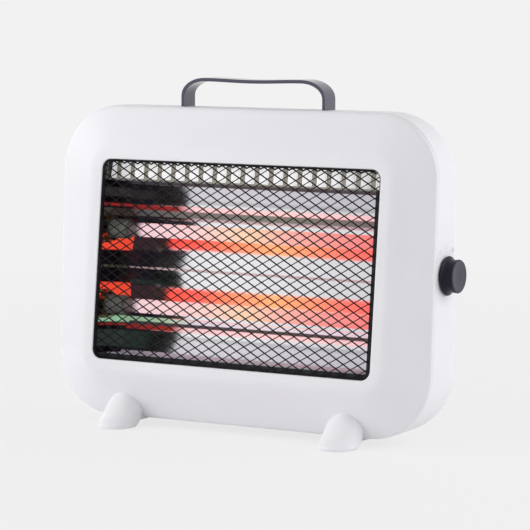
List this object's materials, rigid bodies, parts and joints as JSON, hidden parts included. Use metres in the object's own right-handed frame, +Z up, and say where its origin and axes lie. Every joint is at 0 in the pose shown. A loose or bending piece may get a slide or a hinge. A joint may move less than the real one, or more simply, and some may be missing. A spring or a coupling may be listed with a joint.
{
  "type": "electric bar heater",
  "caption": "Free-standing radiant heater: glowing quartz tubes before a mirror reflector behind a mesh guard, in a rounded white case with strap handle, side knob and toe feet.",
  "frame": {"origin": "on the floor, under the middle of the bounding box", "axes": "+Z up, -Y the way the window faces, +X the side with the knob"},
  "size_m": [0.31, 0.099, 0.249],
  "materials": {
    "shell": "satin, cool white",
    "guard": "semi-gloss black enamel",
    "mirror": "polished",
    "plate": "glossy black",
    "zinc_sheet": "galvanised",
    "quartz": "clear",
    "coil": "glowing resistance wire",
    "cap": "unglazed",
    "clip": "bright",
    "strap": "fine grain",
    "knob": "satin",
    "steel": "zinc plated",
    "dark_moulding": "moulded",
    "brass": "plain",
    "block": "glazed",
    "rubber": "matte",
    "lead_dark": "silicone sleeve",
    "lead_pale": "silicone sleeve"
  },
  "bodies": {
    "heater": {"front_shell": "shell", "rear_shell": "shell", "guard_mesh": "guard", "guard_frame": "guard", "vent_strip": "mirror", "reflector": "mirror", "end_plate_left": "plate", "end_plate_right": "plate", "heat_shield": "zinc_sheet", "tube_upper": "quartz", "tube_lower": "quartz", "coil_upper": "coil", "coil_lower": "coil", "cap_upper_left": "cap", "cap_upper_right": "cap", "cap_lower_left": "cap", "cap_lower_right": "cap", "clip_upper_left": "clip", "clip_upper_right": "clip", "clip_lower_left": "clip", "clip_lower_right": "clip", "handle": "strap", "handle_screws": "steel", "switch_body": "dark_moulding", "switch_nut": "steel", "switch_tabs": "brass", "thermal_cutout": "dark_moulding", "tip_bracket": "zinc_sheet", "tip_pin": "steel", "tip_microswitch": "dark_moulding", "terminal_block": "block", "terminal_screws": "brass", "cord_gland": "rubber", "lead_upper_right": "lead_dark", "lead_lower_right": "lead_dark", "lead_left": "lead_pale", "lead_neutral": "lead_pale", "lead_live": "lead_dark", "lead_cutout": "lead_dark", "lead_tip": "lead_dark", "foot_left": "shell", "foot_right": "shell", "foot_pads": "rubber", "foot_screws": "steel", "case_screws": "steel", "chassis_screws": "steel", "guard_screws": "steel", "inner_screws": "steel"},
    "control": {"knob": "knob", "switch_spindle": "steel"},
    "pendulum": {"tip_pendulum": "brass"}
  },
  "joints": [
    {"name": "knob_turn", "type": "hinge", "parent": "heater", "child": "control", "pos_m": [0.1455, 0.0061, 0.1183], "axis": [1, 0, 0], "range_deg": [0, 60]},
    {"name": "tip_swing", "type": "hinge", "parent": "heater", "child": "pendulum", "pos_m": [-0.075, 0.024, 0.071], "axis": [1, 0, 0], "range_deg": [-20, 20]}
  ]
}
